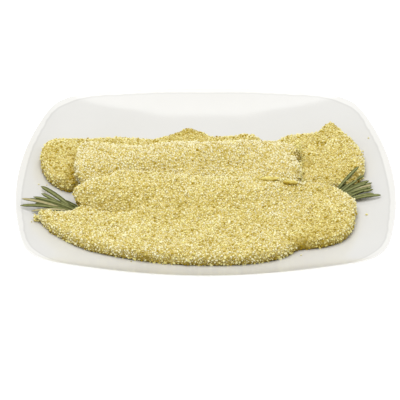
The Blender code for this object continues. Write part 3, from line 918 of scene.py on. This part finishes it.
# Clotted nubs: x, y and spread in mm, how many crumbs, and how high they are heaped in mm.
NUBS = (
    (-128.6, -66.5, 1.4, 60, 4.5),
    (76.5, 29.0, 1.5, 70, 2.6),
    (76.2, 33.5, 1.3, 60, 3.4),
    (76.8, 27.5, 1.2, 50, 3.2),
    (77.6, -6.0, 1.6, 70, 2.6),
    (74.5, 34.0, 1.2, 40, 1.6),
    (78.5, 22.0, 1.0, 24, 1.0),
    (78.0, 9.0, 1.2, 24, 1.0),
)
# Rolls of coating along the back edge of the front cutlet: both ends in mm.
ROLLS = (((43, -21.8), (58, -21.6)), ((60, -23.6), (73, -25.2)))
ROLL_WIDTH = 0.0046
ROLL_THICKNESS = 0.0034
ROLL_RISE = 0.0003  # of its middle over the cutlet
ROLL_TOP = 0.0318
ROLL_SWELL = (0.0009, 0.0034)  # height and size
ROLL_RIPPLE = (0.0004, 0.0013)


def height_under(x, y, beds):
    """The height of the highest surface below this point."""
    hits = [bed.ray_cast(Vector((x, y, ABOVE_ALL)), Vector((0, 0, -1)))[0] for bed in beds]
    return max(hit.z for hit in hits if hit is not None)


def drop_crumbs(materials, shapes, trees, plate):
    """The few crumbs fallen on the plate, and the clotted nubs at the ends of two cutlets."""
    rng = np.random.default_rng(5)
    beds = [plate] + list(trees.values())
    spots = [(x * MM, y * MM, 0.0) for x, y in FALLEN]
    angles = rng.uniform(0, 2 * math.pi, FALLEN_COUNT)
    for angle, share in zip(angles, rng.uniform(0.6, 1.0, FALLEN_COUNT)):
        x = FALLEN_OVAL[0] * share * math.cos(angle)
        y = FALLEN_CENTRE + FALLEN_OVAL[1] * share * math.sin(angle)
        above = Vector((x, y, ABOVE_ALL))
        if all(tree.ray_cast(above, Vector((0, 0, -1)))[0] is None for tree in trees.values()):
            spots.append((x, y, 0.0))
    for x, y, spread, count, height in NUBS:
        for _ in range(count):
            across, along = rng.normal((x, y), spread) * MM
            spots.append((across, along, height * MM * rng.random()))
    places = np.array([(x, y, height_under(x, y, beds) + FALLEN_LIFT + heap) for x, y, heap in spots])
    normals = np.tile((0.0, 0.0, 1.0), (len(places), 1))
    tints = rng.normal(*FALLEN_TINT, len(places))
    scatter("fallen_crumbs", places, normals, shapes[0], FALLEN_SIZE, tints, rng, 0.0, materials["crumb"])


def rolled_up(start, end, bed):
    """One smooth golden roll of coating between these two places, with a painted highlight along its top.
    """
    start, end = Vector((*start, 0)) * MM, Vector((*end, 0)) * MM
    middle, run = (start + end) / 2, end - start
    ground = min(height_under(middle.x, middle.y, (bed,)) + ROLL_RISE, ROLL_TOP)
    deselect_all()
    bpy.ops.mesh.primitive_uv_sphere_add(segments=32, ring_count=16, radius=0.5)
    roll = bpy.context.object
    roll.scale = (run.length, ROLL_WIDTH, ROLL_THICKNESS)
    roll.rotation_euler = (0, 0, math.atan2(run.y, run.x))
    roll.location = (middle.x, middle.y, ground)
    bpy.ops.object.transform_apply(location=True, rotation=True, scale=True)
    points, normals = points_of(roll), normals_of(roll)
    swell = ROLL_SWELL[0] * noise_at(points, ROLL_SWELL[1], 3.0)
    swell += ROLL_RIPPLE[0] * noise_at(points, ROLL_RIPPLE[1], 4.0)
    move_points(roll, points + normals * swell[:, None])
    # painted highlight: the faces that look up are painted paler
    lit = np.clip(normals[:, 2], 0, 1) ** 3
    store(roll, "tint", 0.12 + 0.22 * lit + 0.22 * noise_at(points, 0.0011, 9.0))
    roll.data.shade_smooth()
    return roll


def roll_up_coating(materials, bed):
    """All the rolls, as one piece."""
    piece = joined([rolled_up(start, end, bed) for start, end in ROLLS], "rolled_coating")
    piece.data.materials.append(materials["crumb"])
    finish_piece(piece, "breading")


# ---------------------------------------------------------------- rosemary

LEAF_SIDES = 12
LEAF_RINGS = 14
LEAF_WIDTH = 0.0028
LEAF_THICKNESS = 0.0013
LEAF_ARCH = 0.05  # rise of a leaf's arch, as a share of its length
STEM_WIDTH = 0.0022
STEM_CLEARANCE = 0.0008
STEM_OVERSHOOT = 0.04
# Stem start and end in mm, then leaves: place along the stem, tip in mm, height above the bed,
# share of the full width, and roll in degrees.
LEFT_SPRIG = (
    (-96, -36.5),
    (-113, -47.5),
    (
        (0.33, -130.5, -15, 3.0, 1.25, 35),
        (0.03, -113.8, -28.5, 3.6, 1.0, 60),
        (0.54, -129, -26.5, 3.5, 1.05, 30),
        (0.22, -121.5, -32.5, 4.0, 1.0, 20),
        (0.46, -127.5, -40, 4.0, 1.05, 35),
        (0.26, -134, -38, 4.5, 1.05, 20),
        (0.53, -137.5, -43, 4.0, 1.0, 35),
        (0.57, -141.5, -48.5, 5.0, 1.0, 205),
        (0.52, -132, -44, 3.0, 1.05, 15),
        (0.45, -142, -55, 2.0, 1.05, 30),
        (0.41, -133.5, -56.5, 1.8, 1.0, 200),
        (0.75, -126, -51, 3.0, 1.0, 25),
        (0.40, -118, -46, 5.0, 1.0, 40),
        (0.15, -119, -38, 3.5, 1.0, 25),
    ),
)
RIGHT_SPRIG = (
    (104, -10),
    (115.5, -26.5),
    (
        (0.00, 122.8, 2.5, 5.0, 1.1, -15),
        (0.05, 127.5, 1.0, 5.0, 1.05, -20),
        (0.28, 130.3, -8.5, 4.5, 1.05, -25),
        (0.36, 132.5, -11.5, 3.5, 1.0, -10),
        (0.50, 131.5, -16, 4.5, 1.05, 150),
        (0.58, 131.5, -18.5, 4.0, 1.0, -25),
        (0.66, 132, -22, 3.5, 1.05, -30),
        (0.85, 132, -27.5, 2.5, 1.05, -15),
        (1.00, 136.8, -33, 2.2, 1.1, -20),
        (0.22, 121, -6, 7.0, 0.95, -25),
        (0.75, 125, -22, 5.0, 1.0, -5),
        (0.30, 127.5, -12.5, 5.5, 1.0, -30),
        (0.45, 128.5, -19.5, 5.0, 1.0, -20),
    ),
)


def leaf_blank():
    """One leaf of unit length along +Z: X across it, Y out of its furrowed upper side."""
    deselect_all()
    bpy.ops.mesh.primitive_cylinder_add(
        vertices=LEAF_SIDES, radius=0.5, depth=1.0, location=(0, 0, 0.5), end_fill_type="TRIFAN"
    )
    leaf = bpy.context.object
    bpy.ops.object.transform_apply(location=True)
    bpy.ops.object.mode_set(mode="EDIT")
    bpy.ops.mesh.select_mode(type="EDGE")
    bpy.ops.mesh.select_all(action="DESELECT")
    bpy.ops.object.mode_set(mode="OBJECT")
    for edge in leaf.data.edges:
        low, high = (leaf.data.vertices[i].co.z for i in edge.vertices)
        edge.select = abs(high - low) > 0.5
    bpy.ops.object.mode_set(mode="EDIT")
    bpy.ops.mesh.subdivide(number_cuts=LEAF_RINGS)
    bpy.ops.object.mode_set(mode="OBJECT")
    points = points_of(leaf)
    along, across, over = points[:, 2], 2 * points[:, 0], 2 * points[:, 1]
    store(leaf, "across", np.abs(across))
    store(leaf, "under", over < -0.01)
    store(leaf, "wood", np.clip(1 - along / 0.07, 0, 1))
    swell = np.interp(along, (0, 0.05, 0.2, 0.6, 0.88, 0.96, 1.0), (0.4, 0.6, 0.9, 1.0, 0.9, 0.62, 0.2))
    furrow = np.exp(-((across / 0.30) ** 2))
    over = np.where(over > 0, 0.80 * over - 0.40 * furrow, 0.55 * over + 0.25 * furrow)
    points[:, 0] = 0.5 * across * swell
    points[:, 1] = 0.5 * over * np.sqrt(swell)
    move_points(leaf, points)
    leaf.data.shade_smooth()
    return leaf


def laid_leaf(blank, base, tip, width, roll):
    """A copy of the leaf along a low arch from its base to its tip."""
    leaf = new_object("leaf", blank.data.copy())
    points = points_of(leaf)
    along = points[:, 2:3]
    run = tip - base
    arch = np.array([0.0, 0.0, LEAF_ARCH * np.linalg.norm(run)])
    centre = base + run * along + arch * 4 * along * (1 - along)
    forward = run + arch * 4 * (1 - 2 * along)
    forward /= np.linalg.norm(forward, axis=1)[:, None]
    side = np.cross(forward, [0.0, 0.0, 1.0])
    side /= np.linalg.norm(side, axis=1)[:, None]
    up = np.cross(side, forward)
    turn = math.radians(roll)
    x, y = points[:, 0:1] * width, points[:, 1:2] * LEAF_THICKNESS
    across = x * math.cos(turn) - y * math.sin(turn)
    above = x * math.sin(turn) + y * math.cos(turn)
    move_points(leaf, centre + side * across + up * above)
    make_active(leaf)
    bpy.ops.object.mode_set(mode="EDIT")
    bpy.ops.mesh.select_all(action="SELECT")
    bpy.ops.mesh.normals_make_consistent(inside=False)
    bpy.ops.object.mode_set(mode="OBJECT")
    return leaf


def build_sprig(node, sprig, beds, leaf_green):
    """The stem and all its leaves as one piece."""
    blank = leaf_blank()
    start, end = (np.array(point) * MM for point in sprig[:2])
    clear = 0.6 * STEM_WIDTH + STEM_CLEARANCE
    stem = [np.array((*spot, height_under(*spot, beds) + clear)) for spot in (start, end)]
    stem_end = stem[1] + (stem[1] - stem[0]) * STEM_OVERSHOOT
    parts = [laid_leaf(blank, stem[0], stem_end, STEM_WIDTH, 0)]
    wood = np.ones(len(parts[0].data.vertices), np.float32)
    parts[0].data.attributes["wood"].data.foreach_set("value", wood)
    for share, x, y, above, wide, roll in sprig[2]:
        base = stem[0] + (stem[1] - stem[0]) * share
        tip = np.array((x, y, 0.0)) * MM
        tip[2] = height_under(tip[0], tip[1], beds) + above * MM
        parts.append(laid_leaf(blank, base, tip, LEAF_WIDTH * wide, roll))
    piece = joined(parts, node + "_leaves")
    piece.data.materials.clear()
    piece.data.materials.append(leaf_green)
    bpy.data.objects.remove(blank, do_unlink=True)
    finish_piece(piece, "rosemary", node)


# ---------------------------------------------------------------- stage

WHITE = (1.0, 1.0, 1.0, 1.0)
FLOOR_GREY = (0.90, 0.90, 0.90, 1.0)
FLOOR_GLOW = 0.70
FLOOR_DROP = 0.0002
WORLD_GLOW = 0.66
LIGHT_SIZE = (1.6, 1.1)
LIGHT_POWER = 14.5
LIGHT_PLACE = (-0.15, -0.05, 1.30)
CAMERA_ELEVATION = math.radians(31.0)
CAMERA_DISTANCE = 1.05
CAMERA_TARGET = Vector((-0.0044, -0.0433, 0.0225))
FIELD_OF_VIEW = math.radians(16.77)


def soft_light(name, size, power, place, target):
    """A large soft light that looks at the target."""
    light = bpy.data.lights.new(name, "AREA")
    light.shape = "RECTANGLE"
    light.size, light.size_y = size
    light.energy = power
    obj = new_object(name, light)
    obj.location = place
    obj.rotation_euler = (Vector(target) - Vector(place)).to_track_quat("-Z", "Y").to_euler()


def build_floor():
    """A plain pale floor just under the plate."""
    deselect_all()
    bpy.ops.mesh.primitive_plane_add(size=6.0, location=(0, 0, CAD_BOUNDS[0][2] - FLOOR_DROP))
    floor = bpy.context.object
    floor.name = "floor"
    made, _, _, shader = material("pale floor")
    shader.inputs["Base Color"].default_value = FLOOR_GREY
    shader.inputs["Roughness"].default_value = 0.9
    shader.inputs["Specular IOR Level"].default_value = 0.0
    shader.inputs["Emission Color"].default_value = WHITE
    shader.inputs["Emission Strength"].default_value = FLOOR_GLOW
    floor.data.materials.append(made)


def build_light():
    """Even white surroundings and one large light overhead."""
    world = bpy.data.worlds.new("studio")
    world.use_nodes = True
    background = world.node_tree.nodes["Background"]
    background.inputs["Color"].default_value = WHITE
    background.inputs["Strength"].default_value = WORLD_GLOW
    bpy.context.scene.world = world
    soft_light("overhead", LIGHT_SIZE, LIGHT_POWER, LIGHT_PLACE, (0, 0, 0))
    bpy.context.scene.view_settings.view_transform = "Standard"


def build_camera():
    data = bpy.data.cameras.new("camera")
    data.angle = FIELD_OF_VIEW
    camera = new_object("camera", data)
    back = Vector((0, -math.cos(CAMERA_ELEVATION), math.sin(CAMERA_ELEVATION)))
    camera.location = CAMERA_TARGET + CAMERA_DISTANCE * back
    camera.rotation_euler = (math.pi / 2 - CAMERA_ELEVATION, 0, 0)
    bpy.context.scene.camera = camera


# ---------------------------------------------------------------- assembly


def main():
    build_camera()
    build_floor()
    build_light()
    plate_tree = tree_of(NODES["plate"])
    build_plate(porcelain_material())
    materials, shapes, trees = build_cutlets(plate_tree)
    drop_crumbs(materials, shapes, trees, plate_tree)
    roll_up_coating(materials, trees["schnitzel_front"])
    leaf_green = rosemary_material()
    build_sprig("rosemary_left", LEFT_SPRIG, (plate_tree,), leaf_green)
    right_beds = (plate_tree, trees["schnitzel_back_right"])
    build_sprig("rosemary_right", RIGHT_SPRIG, right_beds, leaf_green)


main()
